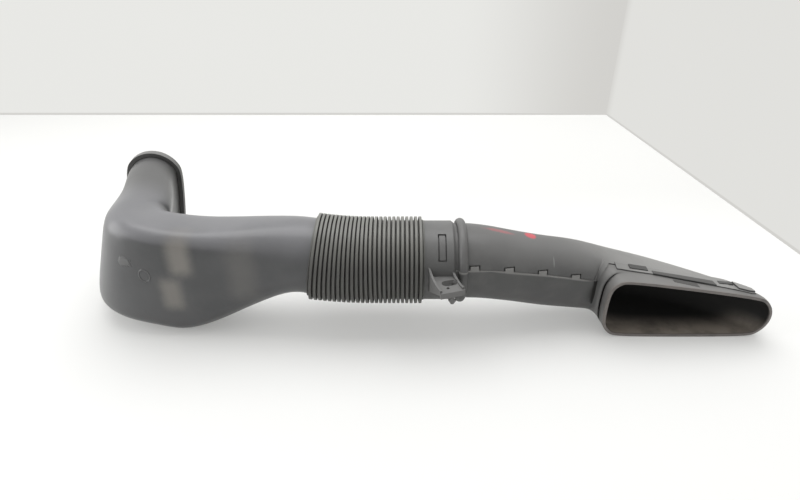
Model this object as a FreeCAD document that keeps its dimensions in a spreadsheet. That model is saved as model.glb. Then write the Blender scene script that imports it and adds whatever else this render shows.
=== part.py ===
"""Air intake pipe: outlet elbow, bellows, bracket collar and a two-shell snorkel with a wide mouth.

Lengths are in mm. X runs along the pipe, Y points away from the mouth and Z is up.
The build frame has its origin on the pipe axis at the collar's bellows shoulder.
"""
import math
import os

import FreeCAD, Part
import Sketcher
from FreeCAD import Placement, Rotation, Vector

os.makedirs("parts", exist_ok=True)
doc = FreeCAD.newDocument("air_intake_pipe")

# Driving dimensions, one spreadsheet row each

DIMENSIONS = [
    # shared by the pieces that meet
    ("duct_radius", 39.25, "outer radius of the snorkel's round end"),
    ("duct_wall", 2.2, "wall of the snorkel shells"),
    ("fit_gap", 0.3, "clearance between a spigot and what it enters"),
    ("spigot_length", 11.0, "length of the spigots inside the bellows"),
    ("spigot_wall", 2.2, "wall of those spigots"),
    # bellows
    ("rib_pitch", 4.6, "axial distance from rib to rib"),
    ("ribs_straight", 11, "ribs on the straight length"),
    ("ribs_bent", 14, "ribs on the bent length"),
    ("bellows_bend", 8.6, "bend of the bellows in degrees"),
    ("crest_radius", 46.2, "outer radius of the rib crests"),
    ("groove_depth", 4.2, "depth of the grooves between ribs"),
    ("groove_half", 0.95, "half width of a groove at the crests"),
    ("root_half", 0.4, "half width of a groove at its root"),
    ("rib_sink", 0.8, "depth of a rib's foot in the hose wall"),
    ("bellows_bore", 39.7, "radius inside the bellows"),
    ("bellows_land", 1.2, "flat end ring of the bellows"),
    # collar and bracket
    ("collar_length", 31.0, "length of the collar from its shoulder"),
    ("collar_wall", 2.4, "wall of the collar"),
    ("collar_chamfer", 2.0, "chamfer on the collar's free edge"),
    ("collar_stop", 3.0, "depth of the stop behind the shoulder"),
    ("window_start", 13.5, "snap window's distance from the shoulder"),
    ("window_length", 8.5, "snap window's size along the pipe"),
    ("window_span", 29.0, "snap window's size round the collar"),
    ("window_tilt", 48.0, "angle of the first window above level"),
    ("bracket_turn", 18.0, "bracket's turn about the upright"),
    ("bracket_start", 3.5, "where the bracket's middle line leaves the axis"),
    ("bracket_width", 25.0, "width over the bracket's side ribs"),
    ("bracket_reach", 73.0, "front edge's distance from the axis"),
    ("plate_top", 5.0, "height of the bracket plate's upper face"),
    ("plate_thickness", 3.2, "thickness of the bracket plate"),
    ("lip_depth", 6.0, "depth of the plate's front lip"),
    ("side_rib", 2.2, "thickness of the bracket's side ribs"),
    ("side_rib_rise", 14.0, "height of the side ribs at the collar"),
    ("slot_length", 16.0, "fixing slot's length across the bracket"),
    ("slot_width", 9.5, "fixing slot's width"),
    ("slot_offset", 3.0, "fixing slot's middle to the right of the bracket's middle"),
    ("slot_reach", 57.0, "fixing slot's distance from the axis"),
    ("pilot_radius", 1.6, "radius of the small hole near the lip"),
    ("dart_length", 10.0, "length of the arrowhead dart under the lip"),
    ("dart_width", 8.0, "width of the dart's head"),
    ("dart_thickness", 2.4, "thickness of the dart"),
    # snorkel
    ("bead_start", 34.0, "start of the stop bead on the shells"),
    ("bead_length", 9.5, "length of the stop bead"),
    ("bead_height", 5.5, "height of the stop bead over the tube"),
    ("bend_start", 186.0, "where the snorkel begins to turn"),
    ("pivot_setback", 32.0, "turning line's distance in front of the axis"),
    ("throat_top", 12.5, "top of the snorkel at the turn"),
    ("throat_bottom", -57.0, "underside of the snorkel at the turn"),
    ("throat_front", -26.0, "front of the snorkel at the turn"),
    ("throat_back", 38.5, "back of the snorkel at the turn"),
    ("mouth_left", 189.0, "mouth's left end along the pipe"),
    ("mouth_width", 175.0, "width of the mouth"),
    ("mouth_floor", -72.0, "underside of the mouth"),
    ("mouth_height", 72.0, "height of the mouth's tall end"),
    ("mouth_drop", 25.0, "fall of the mouth's top edge"),
    ("mouth_corner", 27.0, "corner radius of the mouth"),
    ("mouth_reach", 7.0, "straight part in front of the turning line"),
    ("ring_margin", 10.0, "how far the mouth ring's end stands out round the mouth"),
    ("ring_depth", 27.0, "depth of the mouth ring behind its edge"),
    ("seam_height", 10.0, "seam's height over the pipe axis"),
    ("seam_level", 66.0, "where the seam begins to fall"),
    ("seam_fall", 10.4, "fall of the seam in degrees"),
    ("seam_stop", 186.0, "where the seam's fall eases"),
    ("seam_tail", 7.0, "fall of the seam behind the mouth in degrees"),
    ("seam_gap", 0.3, "gap between the shells"),
    ("ledge", 0.9, "step of the lower shell outside the upper one"),
    ("nose_first", 50.0, "first snap nose along the pipe"),
    ("nose_pitch", 35.5, "distance from snap nose to snap nose"),
    ("nose_count", 4, "snap noses along the seam"),
    ("nose_length", 8.6, "length of a snap nose"),
    ("nose_height", 3.4, "height of a snap nose over the seam"),
    ("nose_slack", 1.2, "gap at each end of a snap nose"),
    ("rim_width", 5.0, "width of the upper shell's raised rim"),
    ("rim_height", 1.8, "height of the upper shell's raised rim"),
    # elbow
    ("elbow_radius", 40.3, "radius of the elbow at the bellows"),
    ("elbow_wall", 2.4, "wall of the elbow"),
    ("elbow_round", 12.0, "round length before the elbow flattens"),
    ("elbow_flare", 114.0, "length over which the elbow flattens"),
    ("elbow_width", 68.0, "depth of the flattened elbow"),
    ("elbow_height", 120.4, "height of the flattened elbow"),
    ("elbow_drop", -37.63, "middle of the flattened elbow under the spigot"),
    ("elbow_shift", -4.0, "flattened elbow's middle in front of the spigot axis"),
    ("elbow_lean", 15.0, "lean of the elbow's section in the turn"),
    ("elbow_corner", 22.0, "corner radius of the flattened elbow"),
    ("elbow_straight", 156.2, "distance from the spigot to the elbow's turn"),
    ("elbow_turn", 81.0, "turn of the elbow in degrees"),
    ("elbow_turn_radius", 48.0, "radius of the elbow's middle line"),
    ("outlet_reach", 112.0, "straight length after the elbow's turn"),
    ("outlet_width", 56.0, "width of the outlet tube"),
    ("outlet_height", 133.0, "height of the outlet tube"),
    ("outlet_drop", -39.91, "middle of the outlet under the spigot"),
    ("outlet_neck", 16.0, "straight end of the outlet tube under the seal"),
    ("outlet_bead", 2.6, "out-turned edge that holds the seal"),
    ("outlet_bead_length", 4.0, "length of that edge"),
    ("seal_wall", 2.4, "wall of the rubber seal"),
    ("seal_lip", 3.0, "length of the seal's lip behind the edge"),
    ("peg_radius", 5.0, "radius of the rest peg under the elbow"),
    ("peg_length", 6.0, "length of the rest peg under the elbow"),
]

sheet = doc.addObject("Spreadsheet::Sheet", "dims")
for row, (alias, number, meaning) in enumerate(DIMENSIONS, start=1):
    sheet.set("A%d" % row, meaning)
    sheet.set("B%d" % row, str(number))
    sheet.setAlias("B%d" % row, alias)
doc.recompute()


class Size:
    """A length that keeps both its number and the sheet expression it comes from."""

    def __init__(self, text, number):
        self.text = text
        self.number = float(number)

    @staticmethod
    def of(other):
        return other if isinstance(other, Size) else Size("(%r)" % float(other), other)

    def __add__(self, other):
        other = Size.of(other)
        return Size("(%s + %s)" % (self.text, other.text), self.number + other.number)

    def __sub__(self, other):
        other = Size.of(other)
        return Size("(%s - %s)" % (self.text, other.text), self.number - other.number)

    def __mul__(self, other):
        other = Size.of(other)
        return Size("(%s * %s)" % (self.text, other.text), self.number * other.number)

    def __truediv__(self, other):
        other = Size.of(other)
        return Size("(%s / %s)" % (self.text, other.text), self.number / other.number)

    def __neg__(self):
        return Size("(0 - %s)" % self.text, -self.number)

    __radd__ = __add__
    __rmul__ = __mul__

    def __rsub__(self, other):
        return Size.of(other) - self

    def sin(self):
        return Size("sin(%s)" % self.text, math.sin(math.radians(self.number)))

    def cos(self):
        return Size("cos(%s)" % self.text, math.cos(math.radians(self.number)))

    def tan(self):
        return Size("tan(%s)" % self.text, math.tan(math.radians(self.number)))


class Sheet:
    """Reads each driving dimension back from the spreadsheet by its name."""

    def __getattr__(self, alias):
        return Size("dims.%s" % alias, float(sheet.get(alias)))


d = Sheet()


# Helpers for sketches and bound objects

def bind(thing, **sizes):
    """Set properties of an object and tie them to the sheet; double underscores are dots."""
    for path, size in sizes.items():
        thing.setExpression(path.replace("__", "."), Size.of(size).text)


def plane_of(body, role):
    return [f for f in body.Origin.OriginFeatures if f.Role == role][0]


def new_sketch(body, name, role, base=(0, 0, 0), axis=(0, 0, 1), angle=0):
    """A sketch on one of the body's origin planes, offset and turned by bound sizes."""
    sketch = body.newObject("Sketcher::SketchObject", name)
    sketch.AttachmentSupport = [(plane_of(body, role), "")]
    sketch.MapMode = "FlatFace"
    sizes = [Size.of(v) for v in base]
    turn = Size.of(angle)
    place = Vector(*[s.number for s in sizes])
    sketch.AttachmentOffset = Placement(place, Rotation(Vector(*axis), turn.number))
    bind(sketch, AttachmentOffset__Base__x=sizes[0], AttachmentOffset__Base__y=sizes[1],
         AttachmentOffset__Base__z=sizes[2])
    if turn.number:
        bind(sketch, AttachmentOffset__Rotation__Angle=turn)
    return sketch


def pin(sketch, geometry, point, x, y):
    """Hold one sketch point at bound coordinates."""
    for kind, size in (("DistanceX", Size.of(x)), ("DistanceY", Size.of(y))):
        at = sketch.addConstraint(Sketcher.Constraint(kind, -1, 1, geometry, point, size.number))
        name = "%s_%d_%d" % (kind[-1].lower(), geometry, point)
        sketch.renameConstraint(at, name)
        sketch.setExpression("Constraints." + name, size.text)


def outline(sketch, corners, arcs=()):
    """A closed outline; an arc entry (i, x, y) bends the edge after corner i through that point."""
    through = {entry[0]: entry[1:] for entry in arcs}
    points = [(Size.of(x), Size.of(y)) for x, y in corners]
    spots = [Vector(x.number, y.number, 0) for x, y in points]
    ends = []
    for i, spot in enumerate(spots):
        nxt = spots[(i + 1) % len(spots)]
        if i in through:
            mx, my = [Size.of(v) for v in through[i]]
            arc = Part.Arc(spot, Vector(mx.number, my.number, 0), nxt)
            at = sketch.addGeometry(arc)
            first = sketch.getPoint(at, 1)
            ends.append((at, 1, 2) if first.distanceToPoint(spot) < 1e-6 else (at, 2, 1))
        else:
            ends.append((sketch.addGeometry(Part.LineSegment(spot, nxt)), 1, 2))
    for i in range(len(ends)):
        here, nxt = ends[i], ends[(i + 1) % len(ends)]
        sketch.addConstraint(Sketcher.Constraint("Coincident", here[0], here[2], nxt[0], nxt[1]))
        pin(sketch, here[0], here[1], *points[i])
    for i in through:
        mx, my = [Size.of(v) for v in through[i]]
        at = sketch.addGeometry(Part.Point(Vector(mx.number, my.number, 0)), True)
        pin(sketch, at, 1, mx, my)
        sketch.addConstraint(Sketcher.Constraint("PointOnObject", at, 1, ends[i][0]))


def revolve(body, name, sketch):
    feature = body.newObject("PartDesign::Revolution", name)
    feature.Profile = sketch
    feature.ReferenceAxis = (sketch, ["H_Axis"])
    feature.Angle = 360
    return feature


def new_body(name):
    body = doc.addObject("PartDesign::Body", name)
    body.Label = name
    return body


def combine(kind, name, *parts):
    """A Part boolean of document objects: Cut and Common take two, MultiFuse takes any number."""
    result = doc.addObject("Part::" + kind, name)
    if kind == "MultiFuse":
        result.Shapes = list(parts)
    else:
        result.Base, result.Tool = parts
    result.Refine = False
    return result


def box(name, x, y, z, length, width, height):
    block = doc.addObject("Part::Box", name)
    bind(block, Length=length, Width=width, Height=height, Placement__Base__x=x,
         Placement__Base__y=y, Placement__Base__z=z)
    return block


# Free-form ducts: lofts through rounded sections given by formulas

CORNER_POLES = 4
POLE_STEP = math.pi / (2 * CORNER_POLES)
SPLINE_SHRINK = (2 + math.cos(POLE_STEP)) / 3


def section(centre, across, half_width, low, high, corner, fall=0.0, lean=0.0):
    """Closed smooth outline; 'fall' lowers the top towards the far side, 'lean' tips the sides."""
    radius = min(corner, half_width, (high - low - abs(fall)) / 2)
    reach = radius / SPLINE_SHRINK
    poles = []
    for quarter in range(4):
        side = 1 if quarter in (0, 3) else -1
        upper = quarter in (0, 1)
        for k in range(CORNER_POLES):
            t = (quarter * CORNER_POLES + k + 0.5) * POLE_STEP
            s = side * (half_width - radius) + reach * math.cos(t)
            edge = (high - fall * (0.5 + 0.5 * s / half_width) - radius) if upper else low + radius
            z = edge + reach * math.sin(t)
            s += lean * (2 * z - low - high) / (high - low)
            poles.append(centre + across * s + Vector(0, 0, z))
    return poles


def section_face(poles):
    curve = Part.BSplineCurve()
    curve.buildFromPolesMultsKnots(poles, periodic=True, degree=3)
    return Part.Face(Part.Wire([curve.toShape()]))


def loft(name, rows):
    """Solid with one smooth side surface through all the sections and a flat cap at each end."""
    middles = [sum(row, Vector()) / len(row) for row in rows]
    stations = [0.0]
    for here, there in zip(middles, middles[1:]):
        stations.append(stations[-1] + here.distanceToPoint(there))
    grid = []
    for column in zip(*rows):
        rail = Part.BSplineCurve()
        rail.interpolate(Points=list(column), Parameters=stations)
        grid.append(rail.getPoles())
    count = len(grid)
    surface = Part.BSplineSurface()
    surface.buildFromPolesMultsKnots(grid, [1] * (count + 1), rail.getMultiplicities(),
                                     [float(k) for k in range(count + 1)], rail.getKnots(),
                                     True, False, 3, rail.Degree)
    side = surface.toShape()
    caps = [Part.Face(Part.Wire([surface.vIso(v).toShape()])) for v in (stations[0], stations[-1])]
    shell = Part.Shell([side] + caps)
    shell.sewShape()
    solid = Part.Solid(shell)
    if solid.Volume < 0:
        solid.reverse()
    duct = doc.addObject("Part::Feature", name)
    duct.Shape = solid
    return duct


def ease(t):
    return t * t * (3 - 2 * t)


def mix(a, b, t):
    return a + (b - a) * t


# Bellows: a hose wall, straight and then bent, with one rib patterned along both lengths

bend_x = -(d.bellows_land + d.ribs_straight * d.rib_pitch)
bend_radius = d.ribs_bent * d.rib_pitch * 180 / (math.pi * d.bellows_bend)
far_end = (bend_x - bend_radius * d.bellows_bend.sin(), bend_radius - bend_radius * d.bellows_bend.cos())
root_radius = d.crest_radius - d.groove_depth
land_radius = root_radius + 0.6
foot_radius = root_radius - d.rib_sink
foot_half = d.root_half - (d.groove_half - d.root_half) * d.rib_sink / d.groove_depth
rib_end = bend_x - d.rib_pitch

bellows = new_body("bellows")
wall_sketch = new_sketch(bellows, "StraightWallProfile", "XZ_Plane")
outline(wall_sketch, [(0, d.bellows_bore), (0, land_radius), (-d.bellows_land, land_radius),
                      (-d.bellows_land, root_radius), (bend_x, root_radius), (bend_x, d.bellows_bore)])
revolve(bellows, "StraightWall", wall_sketch)

ring_sketch = new_sketch(bellows, "BentWallRing", "YZ_Plane", base=(0, bend_radius, bend_x))
for ring_radius in (d.bellows_bore, root_radius):
    at = ring_sketch.addGeometry(Part.Circle(Vector(0, -bend_radius.number, 0), Vector(0, 0, 1),
                                             ring_radius.number))
    pin(ring_sketch, at, 3, 0, -bend_radius)
    size_at = ring_sketch.addConstraint(Sketcher.Constraint("Radius", at, ring_radius.number))
    ring_sketch.renameConstraint(size_at, "ring_%d" % at)
    ring_sketch.setExpression("Constraints.ring_%d" % at, ring_radius.text)
bent_wall = revolve(bellows, "BentWall", ring_sketch)
bind(bent_wall, Angle=d.bellows_bend)
bent_wall.Reversed = False
doc.recompute()

far_sketch = new_sketch(bellows, "ElbowLand", "XZ_Plane", base=(far_end[0], far_end[1], 0),
                        angle=-d.bellows_bend)
outline(far_sketch, [(0, d.bellows_bore), (0, land_radius), (-d.bellows_land, land_radius),
                     (-d.bellows_land, d.bellows_bore)])
revolve(bellows, "ElbowEnd", far_sketch)

rib_sketch = new_sketch(bellows, "RibProfile", "XZ_Plane")
outline(rib_sketch, [
    (bend_x - foot_half, foot_radius),
    (bend_x - d.groove_half, d.crest_radius),
    (rib_end + d.groove_half, d.crest_radius),
    (rib_end + foot_half, foot_radius),
])
rib = revolve(bellows, "Rib", rib_sketch)
doc.recompute()

straight = bellows.newObject("PartDesign::LinearPattern", "StraightRibs")
straight.Originals = [rib]
straight.Direction = (rib_sketch, ["H_Axis"])
bind(straight, Length=d.ribs_straight * d.rib_pitch, Occurrences=d.ribs_straight + 1)
bellows.Tip = straight
doc.recompute()

bend_sketch = new_sketch(bellows, "BendCentre", "XZ_Plane", base=(bend_x, bend_radius, 0))
bent = bellows.newObject("PartDesign::PolarPattern", "BentRibs")
bent.Originals = [rib]
bent.Axis = (bend_sketch, ["N_Axis"])
bent.Reversed = True
bind(bent, Angle=d.bellows_bend * (d.ribs_bent - 1) / d.ribs_bent, Occurrences=d.ribs_bent)
bellows.Tip = bent
doc.recompute()


# Bracket collar: turned sleeve, snap windows, bracket with slot and dart

spigot_radius = d.bellows_bore - d.fit_gap
spigot_bore = spigot_radius - d.spigot_wall
socket_radius = d.duct_radius + d.fit_gap
collar_radius = socket_radius + d.collar_wall

collar = new_body("bracket_collar")
collar_sketch = new_sketch(collar, "CollarProfile", "XZ_Plane")
outline(collar_sketch, [
    (-d.spigot_length, spigot_bore),
    (-d.spigot_length, spigot_radius),
    (0, spigot_radius),
    (0, collar_radius),
    (d.collar_length - d.collar_chamfer, collar_radius),
    (d.collar_length, collar_radius - d.collar_chamfer * 0.7),
    (d.collar_length, socket_radius),
    (d.collar_stop, socket_radius),
    (d.collar_stop, spigot_bore),
])
revolve(collar, "Sleeve", collar_sketch)
doc.recompute()

window_sketch = new_sketch(collar, "WindowOutline", "XY_Plane", axis=(1, 0, 0), angle=90 - d.window_tilt)
outline(window_sketch, [
    (d.window_start, -d.window_span / 2),
    (d.window_start + d.window_length, -d.window_span / 2),
    (d.window_start + d.window_length, d.window_span / 2),
    (d.window_start, d.window_span / 2),
])
window = collar.newObject("PartDesign::Pocket", "SnapWindow")
window.Profile = window_sketch
window.Reversed = True
bind(window, Length=collar_radius + 5)
collar.Tip = window
doc.recompute()
windows = collar.newObject("PartDesign::PolarPattern", "SnapWindows")
windows.Originals = [window]
windows.Axis = (collar_sketch, ["H_Axis"])
windows.Angle = 180
windows.Reversed = True
windows.Occurrences = 3
collar.Tip = windows
doc.recompute()

front_y = d.bracket_reach
rib_half = d.bracket_width / 2
plate_sketch = new_sketch(collar, "BracketSide", "YZ_Plane", base=(0, 0, d.bracket_start),
                          axis=(0, 1, 0), angle=d.bracket_turn)
outline(plate_sketch, [
    (-(collar_radius - d.collar_wall / 2), d.plate_top - d.plate_thickness),
    (-(front_y - d.side_rib), d.plate_top - d.plate_thickness),
    (-(front_y - d.side_rib), d.plate_top - d.lip_depth),
    (-front_y, d.plate_top - d.lip_depth),
    (-front_y, d.plate_top),
    (-(collar_radius - d.collar_wall / 2), d.plate_top),
])
plate = collar.newObject("PartDesign::Pad", "BracketPlate")
plate.Profile = plate_sketch
plate.Midplane = True
bind(plate, Length=d.bracket_width)
doc.recompute()


# Each side rib is a fin that sweeps from the collar down to the plate's front edge
rib_root = -(collar_radius - d.collar_wall / 2)
for name, shift in (("LeftRib", -rib_half), ("RightRib", rib_half - d.side_rib)):
    rib_outline = new_sketch(collar, name + "Outline", "YZ_Plane", axis=(0, 1, 0), angle=d.bracket_turn, base=(
        shift * d.bracket_turn.sin(), 0, d.bracket_start + shift * d.bracket_turn.cos()))
    outline(rib_outline, [
        (rib_root + 9, d.plate_top + d.side_rib_rise),
        (rib_root, d.plate_top - d.plate_thickness - d.side_rib_rise),
        (-(front_y - d.side_rib), d.plate_top - d.plate_thickness),
        (-(front_y - d.side_rib), d.plate_top + d.side_rib),
    ], arcs=[(3, rib_root - 6, d.plate_top + d.side_rib_rise * 0.3)])
    fin = collar.newObject("PartDesign::Pad", name)
    fin.Profile = rib_outline
    bind(fin, Length=d.side_rib)
    doc.recompute()

bore_sketch = new_sketch(collar, "SocketOutline", "XZ_Plane")
outline(bore_sketch, [
    (d.collar_stop, 0), (d.bead_start, 0), (d.bead_start, socket_radius), (d.collar_stop, socket_radius)])
socket = collar.newObject("PartDesign::Groove", "SocketClear")
socket.Profile = bore_sketch
socket.ReferenceAxis = (bore_sketch, ["H_Axis"])
socket.Angle = 360
doc.recompute()

slot_sketch = new_sketch(collar, "SlotOutline", "XY_Plane", base=(d.bracket_start, 0, d.plate_top + 2),
                         angle=d.bracket_turn)
half_run = (d.slot_length - d.slot_width) / 2
slot_near = d.slot_reach - d.slot_width / 2
slot_far = d.slot_reach + d.slot_width / 2
outline(slot_sketch, [
    (d.slot_offset + half_run, -slot_far),
    (d.slot_offset + half_run, -slot_near),
    (d.slot_offset - half_run, -slot_near),
    (d.slot_offset - half_run, -slot_far),
], arcs=[(0, d.slot_offset + d.slot_length / 2, -d.slot_reach),
         (2, d.slot_offset - d.slot_length / 2, -d.slot_reach)])
slot = collar.newObject("PartDesign::Pocket", "FixingSlot")
slot.Profile = slot_sketch
bind(slot, Length=d.plate_thickness + 4)
doc.recompute()

pilot_sketch = new_sketch(collar, "PilotCentre", "XY_Plane", base=(d.bracket_start, 0, d.plate_top),
                          angle=d.bracket_turn)
ring = pilot_sketch.addGeometry(Part.Circle(Vector(0, -60, 0), Vector(0, 0, 1), 1.6))
pin(pilot_sketch, ring, 3, -2, -(d.slot_reach + d.slot_width / 2 + d.pilot_radius * 2.2))
pilot_sketch.addConstraint(Sketcher.Constraint("Radius", ring, 1.6))
pilot_sketch.setExpression("Constraints[2]", d.pilot_radius.text)
pilot = collar.newObject("PartDesign::Pocket", "PilotHole")
pilot.Profile = pilot_sketch
bind(pilot, Length=d.plate_thickness + 1)
doc.recompute()

dart_low = d.plate_top - d.lip_depth - d.dart_length
dart_sketch = new_sketch(collar, "DartOutline", "XZ_Plane", base=(
    d.bracket_start + front_y * d.bracket_turn.sin(), 0, front_y * d.bracket_turn.cos() - 3.0))
half_head = d.dart_width / 2
outline(dart_sketch, [
    (-half_head * 0.45, d.plate_top - d.plate_thickness * 0.5),
    (-half_head * 0.45, dart_low + d.dart_length * 0.5),
    (-half_head, dart_low + d.dart_length * 0.45),
    (-half_head * 0.3, dart_low),
    (half_head * 0.3, dart_low),
    (half_head, dart_low + d.dart_length * 0.45),
    (half_head * 0.45, dart_low + d.dart_length * 0.5),
    (half_head * 0.45, d.plate_top - d.plate_thickness * 0.5),
])
dart = collar.newObject("PartDesign::Pad", "Dart")
dart.Profile = dart_sketch
dart.Reversed = True
bind(dart, Length=d.dart_thickness)
doc.recompute()


# Snorkel: solids of the round end, the duct outside and the duct inside

tube_bore = d.duct_radius - d.duct_wall - 0.5
bead_end = d.bead_start + d.bead_length
bead_middle = d.bead_start + d.bead_length / 2
tube_start = d.collar_stop + d.fit_gap

tube = new_body("snorkel_tube")
tube_sketch = new_sketch(tube, "TubeProfile", "XZ_Plane")
outline(tube_sketch, [
    (tube_start, 0),
    (tube_start, d.duct_radius),
    (d.bead_start, d.duct_radius),
    (bead_end, d.duct_radius - d.duct_wall / 3),
    (bead_end, 0),
], arcs=[(2, bead_middle, d.duct_radius + d.bead_height)])
revolve(tube, "TubeSolid", tube_sketch)
doc.recompute()

mouth_pivot = Vector((d.mouth_left - 12).number, -d.pivot_setback.number, 0)
mouth_front = -(d.pivot_setback + d.mouth_reach)


def snorkel(name, grow):
    """Loft of the snorkel, its surface moved outwards by 'grow' (inwards when negative)."""
    radius = d.duct_radius.number
    start = bead_middle.number
    turn_x = mouth_pivot.x
    rows = []
    for t in (0.0, 0.11, 0.4, 0.7, 1.0):
        along = max(0.0, (t - 0.08) / 0.92)
        blend = ease(along)
        front = mix(-radius, d.throat_front.number, blend)
        back = mix(radius, d.throat_back.number, along)
        low = mix(-radius, d.throat_bottom.number, blend)
        high = mix(radius, d.throat_top.number, along)
        centre = Vector(mix(start, turn_x, t), (front + back) / 2, 0)
        corner = mix(radius, d.mouth_corner.number, along)
        rows.append(section(centre, Vector(0, 1, 0), (back - front) / 2 + grow, low - grow, high + grow,
                             corner + grow))
    near = d.throat_front.number - mouth_pivot.y
    far = d.throat_back.number - mouth_pivot.y
    for step in (1, 2, 3, 4, 5):
        t = step / 4 if step < 5 else 1.0
        angle = math.radians(90 * t)
        across = Vector(math.sin(angle), math.cos(angle), 0)
        inner = mix(near, d.mouth_left.number - mouth_pivot.x, t)
        outer = mix(far, d.mouth_left.number + d.mouth_width.number - mouth_pivot.x, t * t)
        blend = ease(t)
        low = mix(d.throat_bottom.number, d.mouth_floor.number, blend)
        high = mix(d.throat_top.number, d.mouth_floor.number + d.mouth_height.number, t ** 0.7)
        fall = d.mouth_drop.number * blend
        centre = mouth_pivot + across * ((inner + outer) / 2)
        if step == 5:
            past = 2.0 if grow < 0 else 0.0
            centre = centre - Vector(0, d.mouth_reach.number + past, 0)
        rows.append(section(centre, across, (outer - inner) / 2 + grow, low - grow, high + grow,
                             d.mouth_corner.number + grow, fall))
    return loft(name, rows)


duct_void = snorkel("duct_void", -d.duct_wall.number)
bore = doc.addObject("Part::Cylinder", "tube_bore")
bore.Placement = Placement(Vector(0, 0, 0), Rotation(Vector(0, 1, 0), 90))
bind(bore, Radius=tube_bore, Height=bead_end - 1)
void = combine("MultiFuse", "snorkel_void", duct_void, bore)

# Parting tools: what lies over the seam and behind the mouth ring

ring_back = mouth_front + d.ring_depth


def mouth_slab(name, grow, depth):
    """A slab with the mouth's outline, grown by an amount, reaching back from well before the mouth."""
    half = d.mouth_width.number / 2
    ahead = 30.0
    centre = Vector(d.mouth_left.number + half, mouth_front.number - ahead, 0)
    face = section_face(section(centre, Vector(1, 0, 0), half + grow, d.mouth_floor.number - grow,
                                d.mouth_floor.number + d.mouth_height.number + grow,
                                d.mouth_corner.number + grow, d.mouth_drop.number))
    slab = doc.addObject("Part::Feature", name)
    slab.Shape = face.extrude(Vector(0, ahead + depth, 0))
    return slab


tool_end = d.mouth_left + d.mouth_width + 60


def parting(name, gap):
    """Everything over the seam, cleared by a gap all round."""
    body = new_body(name)
    sketch = new_sketch(body, name + "_outline", "XZ_Plane")
    level = d.seam_height + gap
    slope = d.seam_fall.tan()
    outline(sketch, [
        (-10, level),
        (d.seam_level - 25, level),
        (d.seam_level + 25, level - slope * 25),
        (d.seam_stop, level - slope * (d.seam_stop - d.seam_level)),
        (tool_end, level - slope * (d.seam_stop - d.seam_level) - d.seam_tail.tan() * (tool_end - d.seam_stop)),
        (tool_end, 110),
        (-10, 110),
    ], arcs=[(1, d.seam_level, level - slope * 6.25)])
    pad = body.newObject("PartDesign::Pad", name + "_pad")
    pad.Profile = sketch
    pad.Midplane = True
    bind(pad, Length=300)
    doc.recompute()
    zone = mouth_slab(name + "_mouth", d.ring_margin.number + gap.number, d.ring_depth.number + gap.number)
    return combine("Cut", name + "_tool", body, zone)


def noses(name, slack):
    """Blocks over the seam where the snap noses stand, across both walls of the duct."""
    blocks = []
    for i in range(int(d.nose_count.number)):
        x = d.nose_first + d.nose_pitch * i
        fall = x - d.seam_level
        z = d.seam_height - (fall * d.seam_fall.tan() if fall.number > 0 else 0)
        blocks.append(box("%s_%d" % (name, i), x - d.nose_length / 2 - slack, -100, z - 2,
                          d.nose_length + slack * 2, 200, d.nose_height + slack + 2))
    return combine("MultiFuse", name, *blocks)


# Latches that stand in the collar's windows

latch_x = d.window_start + d.nose_slack
latch_ring_outer = doc.addObject("Part::Cylinder", "latch_outer")
latch_ring_outer.Placement = Placement(Vector(0, 0, 0), Rotation(Vector(0, 1, 0), 90))
bind(latch_ring_outer, Radius=collar_radius - 0.8, Height=d.window_length - d.nose_slack * 2,
     Placement__Base__x=latch_x)


def latch(name, angle):
    """A latch block at an angle round the pipe, cut from the latch ring."""
    block = doc.addObject("Part::Box", name)
    half = d.window_span / 2 - d.nose_slack
    block.Placement = Placement(Vector(0, 0, 0), Rotation(Vector(1, 0, 0), angle.number))
    bind(block, Length=60, Width=half * 2, Height=60, Placement__Rotation__Angle=angle,
         Placement__Base__y=-(half * angle.cos()), Placement__Base__z=-(half * angle.sin()))
    return combine("Common", name + "_block", latch_ring_outer, block)


tilt = 90 - d.window_tilt
upper_latches = [latch("latch_front", tilt), latch("latch_back", tilt - 90)]
lower_latches = [latch("latch_low", tilt - 180)]

# Upper shell: thin outside, raised rim and bar along the mouth ring, windows for the noses

rim_solid = snorkel("rim_solid", d.rim_height.number)
rim_zone = mouth_slab("rim_zone", (d.ring_margin + d.rim_width).number, (d.ring_depth + d.rim_width).number)
rim = combine("Common", "upper_rim", rim_solid, rim_zone)
upper_outside = combine("MultiFuse", "upper_outside", tube, snorkel("upper_duct", 0.0), rim, *upper_latches)
upper_hollow = combine("Cut", "upper_hollow", upper_outside, void)
upper_tool = combine("Cut", "upper_tool", parting("over_seam", d.seam_gap), noses("nose_windows", d.nose_slack))
upper_shell = combine("Common", "upper_shell", upper_hollow, upper_tool)

# Lower shell: stands out by the ledge, carries the noses and the whole mouth ring

lower_outside = combine("MultiFuse", "lower_outside", tube, snorkel("lower_duct", d.ledge.number), *lower_latches)
lower_hollow = combine("Cut", "lower_hollow", lower_outside, void)
lower_tool = combine("Cut", "lower_tool", parting("under_seam", Size.of(0)), noses("snap_noses", Size.of(0)))
lower_shell = combine("Cut", "lower_shell", lower_hollow, lower_tool)
doc.recompute()

# Outlet elbow, designed along its own spigot axis and then tilted to meet the bellows

bend = d.bellows_bend.number
elbow_seat = Vector(far_end[0].number - d.bellows_land.number * math.cos(math.radians(bend)), 0,
                    far_end[1].number + d.bellows_land.number * math.sin(math.radians(bend)))
elbow_place = Placement(elbow_seat, Rotation(Vector(0, 1, 0), bend))


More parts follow.
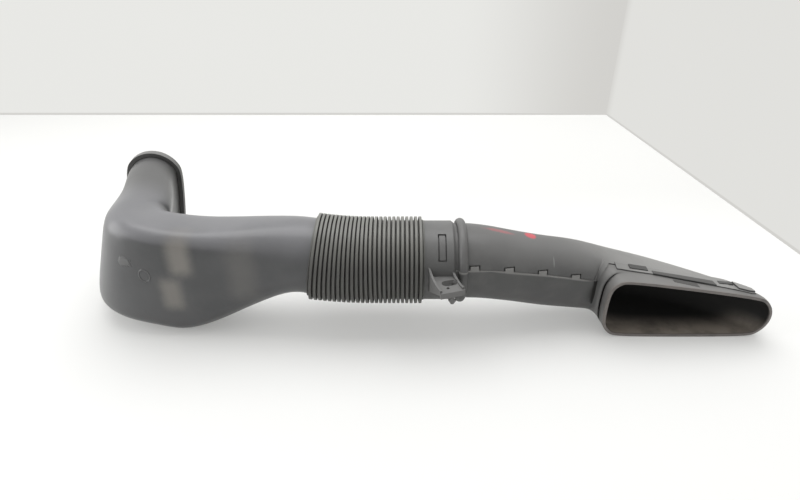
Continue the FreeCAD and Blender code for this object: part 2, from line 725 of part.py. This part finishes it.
def elbow_station(along):
    """Middle line, heading and across direction at a distance along the elbow."""
    straight_run = d.elbow_straight.number
    radius = d.elbow_turn_radius.number
    arc = radius * math.radians(d.elbow_turn.number)
    phi = min(max(along - straight_run, 0.0), arc) / radius
    heading = Vector(-math.cos(phi), math.sin(phi), 0)
    across = Vector(math.sin(phi), math.cos(phi), 0)
    spot = Vector(-min(along, straight_run) - radius * math.sin(phi), radius - radius * math.cos(phi), 0)
    spot = spot + heading * max(0.0, along - straight_run - arc)
    return spot, heading, across


elbow_arc = d.elbow_turn_radius.number * math.radians(d.elbow_turn.number)
elbow_run = d.elbow_straight.number + elbow_arc + d.outlet_reach.number


def elbow_section(along, grow):
    """Section of the elbow: round at the spigot, flattened after the flare, oblong at the outlet."""
    spot, heading, across = elbow_station(along)
    radius = d.elbow_radius.number
    flare = min(1.0, max(0.0, (along - d.elbow_round.number) / d.elbow_flare.number))
    flare = mix(flare, ease(flare), 0.55)
    neck_at = elbow_run - d.outlet_neck.number
    late = (along - d.elbow_straight.number) / (neck_at - d.elbow_straight.number)
    late = ease(min(1.0, max(0.0, late)))
    width = mix(mix(2 * radius, d.elbow_width.number, flare), d.outlet_width.number, late)
    height = mix(mix(2 * radius, d.elbow_height.number, flare), d.outlet_height.number, late)
    drop = mix(mix(0.0, d.elbow_drop.number, flare), d.outlet_drop.number, late)
    corner = mix(mix(radius, d.elbow_corner.number, flare), d.outlet_width.number / 2, late)
    lean = d.elbow_lean.number * math.sin(math.pi * late)
    spot = spot + Vector(0, d.elbow_shift.number * flare, 0)
    return section(spot, across, width / 2 + grow, drop - height / 2 - grow, drop + height / 2 + grow,
                   corner + grow, 0.0, lean)


def elbow_loft(name, grow, first, last):
    stops = [first, d.elbow_round.number]
    stops += [d.elbow_round.number + d.elbow_flare.number * t for t in (0.25, 0.5, 0.75, 1.0)]
    stops += [d.elbow_straight.number + elbow_arc * t for t in (0.0, 0.33, 0.67, 1.0)]
    neck_at = elbow_run - d.outlet_neck.number
    stops += [mix(stops[-1], neck_at, 0.5), neck_at, mix(neck_at, elbow_run, 0.5), last]
    duct = loft(name, [elbow_section(at, grow) for at in stops])
    duct.Placement = elbow_place
    return duct


def outlet_slab(name, grow, start, length):
    """A slab with the outlet's outline, grown by an amount, from a distance along the elbow."""
    spot, heading, across = elbow_station(elbow_run)
    slab = doc.addObject("Part::Feature", name)
    face = section_face(elbow_section(elbow_run, grow))
    face.translate(heading * (start - elbow_run))
    slab.Shape = face.extrude(heading * length)
    slab.Placement = elbow_place
    return slab


def spigot_rod(name, radius, start, length):
    rod = doc.addObject("Part::Cylinder", name)
    rod.Placement = elbow_place.multiply(Placement(Vector(start, 0, 0), Rotation(Vector(0, 1, 0), 90)))
    bind(rod, Radius=radius, Height=length)
    return rod


elbow_outer = elbow_loft("elbow_outer", 0.0, 0.0, elbow_run)
elbow_inner = elbow_loft("elbow_inner", -d.elbow_wall.number, 4.0, elbow_run + 2)
spigot = spigot_rod("elbow_spigot", spigot_radius, -3, d.spigot_length + 3)
spigot_hole = spigot_rod("elbow_spigot_bore", spigot_bore, -7, d.spigot_length + 9)
edge = outlet_slab("outlet_edge", d.outlet_bead.number, elbow_run - d.outlet_bead_length.number,
                   d.outlet_bead_length.number)
peg = doc.addObject("Part::Cylinder", "rest_peg")
peg_base = d.elbow_drop.number - d.elbow_height.number / 2 - d.peg_length.number
peg.Placement = elbow_place.multiply(Placement(
    Vector(-d.elbow_straight.number - 30, -4, peg_base), Rotation()))
bind(peg, Radius=d.peg_radius, Height=d.peg_length + d.elbow_wall)
elbow_solid = combine("MultiFuse", "elbow_solid", elbow_outer, spigot, edge, peg)
elbow_void = combine("MultiFuse", "elbow_void", elbow_inner, spigot_hole)
outlet_elbow = combine("Cut", "outlet_elbow", elbow_solid, elbow_void)
doc.recompute()

# Outlet seal: a U-shaped rubber ring over the outlet's out-turned edge

hold = d.outlet_bead.number
gap = d.fit_gap.number
edge_start = elbow_run - d.outlet_bead_length.number
seal_start = edge_start - gap - d.seal_lip.number
seal_length = elbow_run + d.seal_wall.number - seal_start
seal_body = outlet_slab("seal_body", hold + gap + d.seal_wall.number, seal_start, seal_length)
seal_groove = outlet_slab("seal_groove", hold + gap, edge_start - gap, d.outlet_bead_length.number + gap)
seal_back = outlet_slab("seal_back", gap, seal_start - 1, d.seal_lip.number + 2)
seal_hole = outlet_slab("seal_hole", -d.elbow_wall.number, seal_start - 1, seal_length + 2)
outlet_seal = combine("Cut", "outlet_seal", seal_body, combine(
    "MultiFuse", "seal_hollow", seal_groove, seal_back, seal_hole))
doc.recompute()

# Seat the assembly on its bottom centre, check every object and write the parts

NODES = {"outlet_seal": outlet_seal, "outlet_elbow": outlet_elbow, "bellows": bellows,
         "bracket_collar": collar, "upper_shell": upper_shell, "lower_shell": lower_shell}
for thing in doc.Objects:
    if "Invalid" in thing.State or "Error" in thing.State:
        raise RuntimeError("%s did not compute: %s" % (thing.Name, thing.getStatusString()))
boxes = [node.Shape.optimalBoundingBox() for node in NODES.values()]
seat = Vector(-(min(b.XMin for b in boxes) + max(b.XMax for b in boxes)) / 2,
              -(min(b.YMin for b in boxes) + max(b.YMax for b in boxes)) / 2,
              -min(b.ZMin for b in boxes))
for name, node in NODES.items():
    node.Label = name
    node.Placement = Placement(seat, Rotation()).multiply(node.Placement)
for name, node in NODES.items():
    shape = node.Shape
    if shape.isNull() or not shape.isValid():
        raise RuntimeError("%s has no valid shape" % name)
    print(name, len(shape.Solids), len(shape.Faces), round(shape.Volume / 1000, 2), "cm3")
    shape.exportStep("parts/%s.step" % name)
print("seat", [round(v, 3) for v in seat])
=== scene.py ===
"""Air intake pipe: an oblong sealed outlet on a blow-moulded elbow, a ribbed bellows, a collar with a
bracket, and a snorkel made of two snapped shells that ends in a wide flat mouth."""

import math

import bpy
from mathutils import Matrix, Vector
from mathutils.bvhtree import BVHTree


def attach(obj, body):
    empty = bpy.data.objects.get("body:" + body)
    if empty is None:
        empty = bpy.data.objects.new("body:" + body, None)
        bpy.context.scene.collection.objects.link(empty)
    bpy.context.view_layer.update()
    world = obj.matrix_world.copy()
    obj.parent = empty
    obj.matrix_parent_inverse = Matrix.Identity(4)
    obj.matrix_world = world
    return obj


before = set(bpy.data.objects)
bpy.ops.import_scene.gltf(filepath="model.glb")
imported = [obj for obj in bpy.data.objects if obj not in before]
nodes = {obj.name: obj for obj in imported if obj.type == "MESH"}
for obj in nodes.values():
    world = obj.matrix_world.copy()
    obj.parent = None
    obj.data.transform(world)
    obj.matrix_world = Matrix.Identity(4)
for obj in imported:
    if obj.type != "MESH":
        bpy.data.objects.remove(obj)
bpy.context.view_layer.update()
scene = bpy.context.scene

# Outlet elbow: polyethylene, blow-moulded in one piece and pushed into the bellows. Its smooth skin has a
# soft sheen and is faded, with painted light, where it looks up; its back is painted in shade. Pale patches
# on the front are painted reflections, and it has the ring and the uneven pip that mould inserts leave.


def new_material(name):
    """An empty principled material: returns the material, its tree, the shader and the object coordinates."""
    material = bpy.data.materials.new(name)
    material.use_nodes = True
    tree = material.node_tree
    shader = tree.nodes["Principled BSDF"]
    place = tree.nodes.new("ShaderNodeTexCoord")
    return material, tree, shader, place.outputs["Object"]


def add(tree, kind, **sockets):
    """A node with some of its input sockets set; spaces in socket names are written as underscores."""
    node = tree.nodes.new(kind)
    for key, value in sockets.items():
        node.inputs[key.replace("_", " ")].default_value = value
    return node


def ramp(tree, source, low, high, start=0.0, end=1.0):
    """A value that runs from start to end while its source climbs from low to high."""
    node = add(tree, "ShaderNodeMapRange", From_Min=low, From_Max=high, To_Min=start, To_Max=end)
    node.interpolation_type = "SMOOTHSTEP"
    tree.links.new(source, node.inputs["Value"])
    return node.outputs["Result"]


def combine(tree, operation, first, second):
    """Two values joined by a math operation; the second may be a plain number."""
    node = tree.nodes.new("ShaderNodeMath")
    node.operation = operation
    tree.links.new(first, node.inputs[0])
    if isinstance(second, float):
        node.inputs[1].default_value = second
    else:
        tree.links.new(second, node.inputs[1])
    return node.outputs["Value"]


def product(tree, first, *others):
    """Several masks multiplied; all but the first may be plain numbers."""
    for other in others:
        first = combine(tree, "MULTIPLY", first, other)
    return first


def vector_math(tree, operation, first, second):
    """A vector operation on a node's output and a plain vector or another output."""
    node = tree.nodes.new("ShaderNodeVectorMath")
    node.operation = operation
    tree.links.new(first, node.inputs[0])
    if isinstance(second, tuple):
        node.inputs[1].default_value = second
    else:
        tree.links.new(second, node.inputs[1])
    return node.outputs["Value" if operation == "DOT_PRODUCT" else "Vector"]


def axes(tree, vector):
    """A vector's X, Y and Z: along the pipe, away from the mouth's opening, and up."""
    node = tree.nodes.new("ShaderNodeSeparateXYZ")
    tree.links.new(vector, node.inputs["Vector"])
    return node.outputs["X"], node.outputs["Y"], node.outputs["Z"]


def tint(tree, factor, dark, light):
    """A colour between two colours, each a plain colour or another node's output."""
    node = tree.nodes.new("ShaderNodeMix")
    node.data_type = "RGBA"
    tree.links.new(factor, node.inputs[0])
    for socket, colour in ((node.inputs[6], dark), (node.inputs[7], light)):
        if isinstance(colour, tuple):
            socket.default_value = (*colour, 1)
        else:
            tree.links.new(colour, socket)
    return node.outputs[2]


def noise(tree, place, scale, detail=4.0):
    """Cloudy noise of a given scale."""
    node = add(tree, "ShaderNodeTexNoise", Scale=scale, Detail=detail, Roughness=0.6)
    tree.links.new(place, node.inputs["Vector"])
    return node.outputs["Fac"]


def offset_length(tree, place, centre, radii):
    """Distance from a point, measured in units of three radii (metres)."""
    shrunk = vector_math(tree, "DIVIDE", vector_math(tree, "SUBTRACT", place, centre), radii)
    size = tree.nodes.new("ShaderNodeVectorMath")
    size.operation = "LENGTH"
    tree.links.new(shrunk, size.inputs[0])
    return size.outputs["Value"]


def blob(tree, place, centre, radii, ragged=0.0, soft=0.3):
    """A mask that is 1 inside an ellipsoid and fades at its edge, which noise may make ragged."""
    size = offset_length(tree, place, centre, radii)
    if ragged:
        rough = product(tree, noise(tree, place, 160.0), ragged)
        size = combine(tree, "SUBTRACT", combine(tree, "ADD", size, rough), ragged / 2)
    return ramp(tree, size, 1.0 - soft, 1.0 + soft, 1.0, 0.0)


# The moulded skin that all the pieces share: soft flow clouds, fine flecks, a grained normal, and a mask
# of pale dust and fading on every face that looks up, which is also painted light on those faces
skin = bpy.data.node_groups.new("moulded_skin", "ShaderNodeTree")
for label, kind in (("Vector", "NodeSocketVector"),
                    ("Grain", "NodeSocketFloat"),
                    ("Base Normal", "NodeSocketVector")):
    skin.interface.new_socket(name=label, in_out="INPUT", socket_type=kind)
for label, kind in (("Cloud", "NodeSocketFloat"),
                    ("Fleck", "NodeSocketFloat"),
                    ("Dust And Lit Tops", "NodeSocketFloat"),
                    ("Normal", "NodeSocketVector")):
    skin.interface.new_socket(name=label, in_out="OUTPUT", socket_type=kind)
skin_in = skin.nodes.new("NodeGroupInput")
skin_out = skin.nodes.new("NodeGroupOutput")
cloud = noise(skin, skin_in.outputs["Vector"], 16.0, 5.0)
fleck = noise(skin, skin_in.outputs["Vector"], 900.0, 3.0)
grained = add(skin, "ShaderNodeBump", Distance=0.00025)
skin.links.new(skin_in.outputs["Grain"], grained.inputs["Strength"])
skin.links.new(fleck, grained.inputs["Height"])
skin.links.new(skin_in.outputs["Base Normal"], grained.inputs["Normal"])
aside, back, up = axes(skin, skin_in.outputs["Base Normal"])
# Dust and fading on faces that look up, and painted top light there too
dust_and_lit_tops = product(skin, ramp(skin, up, 0.1, 1.0), ramp(skin, cloud, 0.2, 0.75, 0.75, 1.0))
skin.links.new(cloud, skin_out.inputs["Cloud"])
skin.links.new(fleck, skin_out.inputs["Fleck"])
skin.links.new(dust_and_lit_tops, skin_out.inputs["Dust And Lit Tops"])
skin.links.new(grained.outputs["Normal"], skin_out.inputs["Normal"])


def moulded(name, dark, light, dust_and_top_light, sheen, dull, grain, edge=0.0003):
    """Plastic or rubber with the moulded skin: returns what a piece needs to add its own marks."""
    material, tree, shader, place = new_material(name)
    if edge:
        rounded = add(tree, "ShaderNodeBevel", Radius=edge)
        rounded.samples = 4
    else:
        rounded = tree.nodes.new("ShaderNodeNewGeometry")
    skin_node = tree.nodes.new("ShaderNodeGroup")
    skin_node.node_tree = skin
    skin_node.name = "skin"
    skin_node.inputs["Grain"].default_value = grain
    tree.links.new(place, skin_node.inputs["Vector"])
    tree.links.new(rounded.outputs["Normal"], skin_node.inputs["Base Normal"])
    base = tint(tree, ramp(tree, skin_node.outputs["Cloud"], 0.3, 0.7), dark, light)
    # The dust colour on faces that look up is real dust and also painted top light
    colour = tint(tree, skin_node.outputs["Dust And Lit Tops"], base, dust_and_top_light)
    tree.links.new(colour, shader.inputs["Base Color"])
    gloss = ramp(tree, skin_node.outputs["Cloud"], 0.3, 0.7, sheen, dull)
    tree.links.new(gloss, shader.inputs["Roughness"])
    tree.links.new(skin_node.outputs["Normal"], shader.inputs["Normal"])
    return material, tree, shader, place, colour


def mark(tree, shader, colour, mask, paint):
    """Lay a colour over a material where a mask allows it; returns the new colour."""
    laid = tint(tree, mask, colour, paint)
    tree.links.new(laid, shader.inputs["Base Color"])
    return laid


def dress(node, material):
    """Give a CAD node its finish."""
    mesh = nodes[node].data
    mesh.materials.clear()
    mesh.materials.append(material)


elbow, tree, shader, place, colour = moulded(
    "elbow_plastic", dark=(0.060, 0.061, 0.063), light=(0.080, 0.081, 0.083), dust_and_top_light=(0.202, 0.202, 0.212),
    sheen=0.285, dull=0.36, grain=0.05, edge=0.0)
along, deep, high = axes(tree, place)
front = ramp(tree, deep, -0.060, -0.050, 1.0, 0.0)
# Painted reflections: pale patches on the front where windows shine on the glossy skin
for centre, half_width, half_height, amount in (
        ((-0.2365, -0.079, 0.0965), 0.0100, 0.0190, 0.78),
        ((-0.2505, -0.079, 0.0540), 0.0095, 0.0170, 0.68),
        ((-0.1755, -0.079, 0.0800), 0.0130, 0.0320, 0.20)):
    upright = blob(tree, place, centre, (half_width, 10.0, 10.0), 0.3, 0.75)
    level = blob(tree, place, centre, (10.0, 10.0, half_height), 0.3, 0.45)
    painted_highlight = product(tree, upright, level, front, amount)
    colour = mark(tree, shader, colour, painted_highlight, (0.240, 0.226, 0.204))
# Painted shade: the outlet tube at the back is darkened
painted_shade_at_back = ramp(tree, deep, -0.020, 0.050, 0.0, 0.80)
colour = mark(tree, shader, colour, painted_shade_at_back, (0.085, 0.084, 0.082))
away = offset_length(tree, place, (-0.2745, -0.0779, 0.0758), (0.0066, 0.02, 0.0078))
ring = product(tree, ramp(tree, away, 0.70, 0.84), ramp(tree, away, 0.90, 1.04, 1.0, 0.0))
pip = blob(tree, place, (-0.2935, -0.0717, 0.0893), (0.0068, 0.02, 0.0052), 1.6, 0.25)
relief = combine(tree, "MAXIMUM", ring, pip)
raised = add(tree, "ShaderNodeBump", Strength=1.0, Distance=0.0012)
tree.links.new(relief, raised.inputs["Height"])
tree.links.new(shader.inputs["Normal"].links[0].from_socket, raised.inputs["Normal"])
tree.links.new(raised.outputs["Normal"], shader.inputs["Normal"])
mark(tree, shader, colour, product(tree, relief, 0.35), (0.16, 0.16, 0.158))
dress("outlet_elbow", elbow)

# Outlet seal: a soft black rubber ring, extruded with a U-shaped section and joined to a loop. It is
# pushed over the edge of the outlet and grips it.
seal, tree, shader, place, colour = moulded(
    "seal_rubber", dark=(0.062, 0.061, 0.060), light=(0.084, 0.083, 0.081), dust_and_top_light=(0.205, 0.202, 0.198),
    sheen=0.50, dull=0.62, grain=0.2, edge=0.0006)
dress("outlet_seal", seal)

# Bellows: a ribbed elastomer hose, darker and duller than the plastic, pushed over the two spigots.
# Dust, and painted top light, sit on the rib crests that look up, and the grooves stay black.
hose, tree, shader, place, colour = moulded(
    "bellows_elastomer", dark=(0.062, 0.061, 0.057), light=(0.080, 0.079, 0.074), dust_and_top_light=(0.20, 0.20, 0.185),
    sheen=0.36, dull=0.48, grain=0.12, edge=0.0010)
dress("bellows", hose)

# Bracket collar: an injection-moulded sleeve that snaps over the snorkel's latches and holds the end of
# the bellows. Its bracket is painted paler where light from the left falls on it, and has a slot for fixing
# it to the car.
sleeve, tree, shader, place, colour = moulded(
    "collar_plastic", dark=(0.060, 0.060, 0.060), light=(0.078, 0.078, 0.077), dust_and_top_light=(0.158, 0.158, 0.156),
    sheen=0.40, dull=0.52, grain=0.2)
along, deep, high = axes(tree, place)
# Painted light: the bracket plate at the front is made paler, as if lit from the left
plate = ramp(tree, deep, -0.086, -0.080, 0.65, 0.0)
mark(tree, shader, colour, plate, (0.165, 0.163, 0.160))
dress("bracket_collar", sleeve)

# Upper shell: the snorkel's injection-moulded top half, snapped on the lower one, faded grey and painted
# lighter on top where light falls, and smudged. It carries a dab and a thin streak of red paint and one fine
# white scratch.
top_skin, tree, shader, place, colour = moulded(
    "upper_plastic", dark=(0.064, 0.064, 0.064), light=(0.082, 0.082, 0.081), dust_and_top_light=(0.148, 0.147, 0.145),
    sheen=0.38, dull=0.52, grain=0.2)
along, deep, high = axes(tree, place)
# Faded grey on top toward the mouth: real fading and painted top light
faded_and_lit_top = product(tree, tree.nodes["skin"].outputs["Dust And Lit Tops"], ramp(tree, along, 0.14, 0.25))
colour = mark(tree, shader, colour, faded_and_lit_top, (0.270, 0.267, 0.260))
smudge = ramp(tree, noise(tree, place, 26.0, 6.0), 0.42, 0.68, 0.0, 0.35)
colour = mark(tree, shader, colour, smudge, (0.150, 0.149, 0.146))
dab = blob(tree, place, (0.1205, -0.0325, 0.0981), (0.0058, 0.0075, 0.008), 0.5, 0.22)
colour = mark(tree, shader, colour, dab, (0.55, 0.085, 0.105))
streak = blob(tree, place, (0.0855, -0.0385, 0.1066), (0.0150, 0.0034, 0.009), 0.9, 0.4)
colour = mark(tree, shader, colour, product(tree, streak, 0.6), (0.42, 0.12, 0.13))
scratch = blob(tree, place, (0.1401, -0.0630, 0.0833), (0.0004, 0.008, 0.0042), 0.3, 0.5)
mark(tree, shader, colour, product(tree, scratch, 0.7), (0.33, 0.33, 0.33))
dress("upper_shell", top_skin)

# Lower shell: the injection-moulded bottom half with the snap noses and the whole mouth ring. The mouth
# is painted black inside as shade, with brown road dirt on its floor and round its lip. A pale line along
# the seam's edge and the noses is a painted highlight, and painted light makes the ring's shaded flank paler.
low_skin, tree, shader, place, colour = moulded(
    "lower_plastic", dark=(0.056, 0.056, 0.056), light=(0.072, 0.072, 0.071), dust_and_top_light=(0.195, 0.192, 0.187),
    sheen=0.40, dull=0.52, grain=0.2)
along, deep, high = axes(tree, place)
mouth_side = ramp(tree, along, 0.170, 0.185)
from_middle = vector_math(tree, "SUBTRACT", place, (0.281, -0.06, 0.033))
outward = vector_math(tree, "MULTIPLY", from_middle, (0.35, 0.0, 1.0))
wall = tree.nodes.new("ShaderNodeNewGeometry")
turned_out = vector_math(tree, "DOT_PRODUCT", outward, wall.outputs["Normal"])
# Painted shade: the mouth's inner walls are made near black
inside = product(tree, ramp(tree, turned_out, -0.006, -0.001, 1.0, 0.0), mouth_side)
colour = mark(tree, shader, colour, inside, (0.024, 0.0235, 0.023))
tree.links.new(ramp(tree, inside, 0.0, 1.0, 0.5, 0.06), shader.inputs["Specular IOR Level"])
near_lip = ramp(tree, deep, -0.076, -0.044, 1.0, 0.0)
mouth_floor = product(tree, near_lip, ramp(tree, high, 0.004, 0.022, 1.0, 0.0))
dirt = ramp(tree, noise(tree, place, 34.0, 6.0), 0.30, 0.62, 0.55, 1.0)
colour = mark(tree, shader, colour, product(tree, mouth_floor, dirt, inside), (0.310, 0.272, 0.232))
smudge = ramp(tree, noise(tree, place, 26.0, 6.0), 0.45, 0.70, 0.0, 0.35)
smudge = combine(tree, "MAXIMUM", combine(tree, "SUBTRACT", smudge, mouth_side), 0.0)
colour = mark(tree, shader, colour, smudge, (0.120, 0.119, 0.116))
# Painted highlight: a pale line along the seam's edge, where the ledge catches light
past_level = combine(tree, "MAXIMUM", combine(tree, "SUBTRACT", along, 0.0731), 0.0)
over_seam = combine(tree, "ADD", product(tree, past_level, 0.1835), high)
painted_highlight = combine(tree, "SUBTRACT", ramp(tree, over_seam, 0.0808, 0.0822), mouth_side)
painted_highlight = product(tree, combine(tree, "MAXIMUM", painted_highlight, 0.0), 0.75)
colour = mark(tree, shader, colour, painted_highlight, (0.230, 0.226, 0.218))
aside, back, up = axes(tree, wall.outputs["Normal"])
# Painted light: the ring's outer flank, which faces the shaded side, is made paler
flank = product(tree, ramp(tree, aside, -0.9, -0.4, 0.9, 0.0), ramp(tree, along, 0.200, 0.212, 1.0, 0.0))
colour = mark(tree, shader, colour, product(tree, flank, mouth_side), (0.150, 0.147, 0.143))
lip_dirt = ramp(tree, noise(tree, place, 60.0, 5.0), 0.25, 0.6, 0.4, 1.0)
lip = product(tree, ramp(tree, deep, -0.0797, -0.0765, 1.0, 0.0), lip_dirt, mouth_side)
mark(tree, shader, colour, lip, (0.165, 0.149, 0.140))
dress("lower_shell", low_skin)

# Front edge of the upper shell: a lap, moulded with the shell, that lies on the mouth ring and ends in a
# thick block. A long dark bar and two tabs clip it to the ring, and below the bar a thin dark sheet is
# painted shade in a slot.


def surface_of(node):
    """A search tree of a CAD node's surface, for seating small pieces on it."""
    return BVHTree.FromObject(nodes[node], bpy.context.evaluated_depsgraph_get())


def strip(name, trees, stations, lift, sink, material, steps=6):
    """A low slab that follows the surface below it; each station holds x, the near y and the far y."""
    rows = []
    for here, there in zip(stations, stations[1:]):
        rows += [Vector(here).lerp(Vector(there), i / steps) for i in range(steps)]
    rows.append(Vector(stations[-1]))
    points = []
    for x, near, far in rows:
        for y in (near, far):
            hits = [tree.ray_cast(Vector((x, y + aside, 0.3)), Vector((0, 0, -1)))[0]
                    for tree in trees for aside in (-0.0007, 0.0, 0.0007)]
            top = max(hit.z for hit in hits if hit)
            points += [(x, y, top - sink), (x, y, top + lift)]
    faces = [(0, 1, 3, 2)]
    for a in range(0, 4 * (len(rows) - 1), 4):
        b = a + 4
        faces += [(a, b, b + 1, a + 1), (a + 2, a + 3, b + 3, b + 2)]
        faces += [(a + 1, b + 1, b + 3, a + 3), (a, a + 2, b + 2, b)]
    faces.append((b, b + 2, b + 3, b + 1))
    mesh = bpy.data.meshes.new(name)
    mesh.from_pydata(points, [], faces)
    mesh.materials.append(material)
    slab = bpy.data.objects.new(name, mesh)
    scene.collection.objects.link(slab)
    rounding = slab.modifiers.new("rounding", "BEVEL")
    rounding.width = 0.0005
    rounding.segments = 2
    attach(slab, "root")


seats = [surface_of("lower_shell"), surface_of("upper_shell")]
strip("edge_lap", seats,
      [(0.2080, -0.0592, -0.0500), (0.2455, -0.0603, -0.0500), (0.3014, -0.0680, -0.0505),
       (0.3306, -0.0712, -0.0535), (0.3470, -0.0738, -0.0600), (0.3525, -0.0722, -0.0635)],
      0.0012, 0.0010, top_skin)
strip("edge_block", seats,
      [(0.3345, -0.0700, -0.0555), (0.3450, -0.0720, -0.0605), (0.3518, -0.0710, -0.0640)],
      0.0030, 0.0010, top_skin)
# Dark plastic for the bar and tabs, also used as painted shade for the slot sheet
dark_clip_and_shade_skin, tree, shader, place, colour = moulded(
    "dark_clip_plastic_and_shade", dark=(0.034, 0.034, 0.034), light=(0.046, 0.046, 0.045), dust_and_top_light=(0.078, 0.077, 0.075),
    sheen=0.45, dull=0.58, grain=0.2)
strip("edge_bar", seats,
      [(0.2465, -0.0610, -0.0550), (0.2800, -0.0655, -0.0572), (0.3110, -0.0690, -0.0600)],
      0.0020, 0.0010, dark_clip_and_shade_skin)
strip("edge_tab_left", seats, [(0.2225, -0.0565, -0.0505), (0.2425, -0.0565, -0.0500)],
      0.0024, 0.0010, dark_clip_and_shade_skin)
strip("edge_tab_right", seats, [(0.3165, -0.0640, -0.0585), (0.3330, -0.0620, -0.0565)],
      0.0022, 0.0010, dark_clip_and_shade_skin)
# Painted shade: a thin dark sheet below the bar stands for the shade in a slot
strip("edge_slot_shade_sheet", seats, [(0.2650, -0.0705, -0.0655), (0.2900, -0.0755, -0.0680)],
      0.0004, 0.0010, dark_clip_and_shade_skin)

# Floor of the stage: a white painted board, a little greyer toward the back, where the grey is painted shade
# near the walls. It keeps the pipe's shadow and glows a little, so that the shadow stays as soft as in a
# light room.
bpy.ops.mesh.primitive_plane_add(size=30)
floor = bpy.context.object
floor.name = "floor"
board_paint, tree, shader, place = new_material("white_floor")
along, deep, high = axes(tree, place)
sheet = tint(tree, noise(tree, place, 3.0, 3.0), (0.84, 0.84, 0.83), (0.87, 0.87, 0.86))
# Painted shade: the floor is greyer toward the back walls
sheet = tint(tree, ramp(tree, deep, 0.05, 0.35), sheet, (0.75, 0.75, 0.735))
tree.links.new(sheet, shader.inputs["Base Color"])
shader.inputs["Roughness"].default_value = 0.6
far = ramp(tree, offset_length(tree, place, (0.0, 0.0, 0.0), (1.0, 1.0, 1.0)), 0.7, 1.9, 0.30, 1.0)
glow = add(tree, "ShaderNodeEmission", Color=(0.97, 0.97, 0.95, 1), Strength=0.86)
fade = tree.nodes.new("ShaderNodeMixShader")
tree.links.new(far, fade.inputs["Fac"])
tree.links.new(shader.outputs["BSDF"], fade.inputs[1])
tree.links.new(glow.outputs["Emission"], fade.inputs[2])
tree.links.new(fade.outputs["Shader"], tree.nodes["Material Output"].inputs["Surface"])
floor.data.materials.append(board_paint)

# Walls of the stage: two pale boards that meet in a corner. From the room they show their paint to the
# eye and in reflections. From behind they are clear, and the lamps' light goes through.
wall_paint, tree, shader, place = new_material("pale_wall")
rays = tree.nodes.new("ShaderNodeLightPath")
mirrored = combine(tree, "MAXIMUM", rays.outputs["Is Glossy Ray"], rays.outputs["Is Transmission Ray"])
where = tree.nodes.new("ShaderNodeNewGeometry")
room_side = ramp(tree, where.outputs["Backfacing"], 0.0, 1.0, 1.0, 0.0)
seen = product(tree, combine(tree, "MAXIMUM", rays.outputs["Is Camera Ray"], mirrored), room_side)
along, deep, high = axes(tree, where.outputs["Position"])
# Painted shade: the back wall greys toward the corner. A grey line runs along the walls' foot.
corner = product(tree, ramp(tree, along, 0.10, 0.50), ramp(tree, along, 0.5005, 0.5025, 1.0, 0.35))
foot_line = ramp(tree, high, 0.003, 0.007, 1.0, 0.0)
white = tint(tree, noise(tree, place, 2.0, 3.0), (0.98, 0.98, 0.95), (1.0, 1.0, 0.97))
greyed = tint(tree, combine(tree, "MAXIMUM", corner, foot_line), white, (0.79, 0.78, 0.75))
glow = add(tree, "ShaderNodeEmission", Strength=0.82)
tree.links.new(greyed, glow.inputs["Color"])
clear = tree.nodes.new("ShaderNodeBsdfTransparent")
split = tree.nodes.new("ShaderNodeMixShader")
tree.links.new(seen, split.inputs["Fac"])
tree.links.new(clear.outputs["BSDF"], split.inputs[1])
tree.links.new(glow.outputs["Emission"], split.inputs[2])
tree.links.new(split.outputs["Shader"], tree.nodes["Material Output"].inputs["Surface"])
tree.nodes.remove(shader)
for name, middle, turn in (("back_wall", (-1.2, 0.80, 1.75), 0.0), ("side_wall", (0.5305, 0.0, 1.75), -87.9)):
    bpy.ops.mesh.primitive_plane_add(size=3.5, location=middle,
                                     rotation=(math.radians(90), 0, math.radians(turn)))
    board = bpy.context.object
    board.name = name
    board.data.materials.append(wall_paint)

# Light: large soft lamps overhead, at the back and on the left, in an evenly lit room.


def lamp(name, spot, target, size, power):
    """A rectangular soft lamp that looks at a target."""
    light = bpy.data.lights.new(name, "AREA")
    light.shape = "RECTANGLE"
    light.size, light.size_y = size
    light.energy = power
    holder = bpy.data.objects.new(name, light)
    scene.collection.objects.link(holder)
    holder.location = spot
    holder.rotation_euler = (Vector(target) - Vector(spot)).to_track_quat("-Z", "Y").to_euler()


lamp("overhead", (0.0, 0.55, 1.7), (0.0, 0.05, 0.0), (2.6, 1.6), 30)
lamp("rear", (0.2, 2.6, 1.3), (0.0, 0.0, 0.05), (4.0, 2.0), 26)
lamp("left", (-1.7, -0.15, 0.55), (-0.1, 0.0, 0.05), (1.2, 1.2), 14)
world = bpy.data.worlds.new("surround")
scene.world = world
world.use_nodes = True
world.node_tree.nodes["Background"].inputs["Color"].default_value = (0.93, 0.93, 0.92, 1)
world.node_tree.nodes["Background"].inputs["Strength"].default_value = 0.63

# Camera: a wide view from the front, looking down at the pipe.
camera = bpy.data.cameras.new("camera")
camera.sensor_width = 36.0
camera.lens = 23.85
eye = bpy.data.objects.new("camera", camera)
scene.collection.objects.link(eye)
eye.location = (-0.0174, -0.5287, 0.3609)
eye.rotation_euler = (math.radians(60.5), 0, 0)
scene.camera = eye
scene.view_settings.view_transform = "Standard"
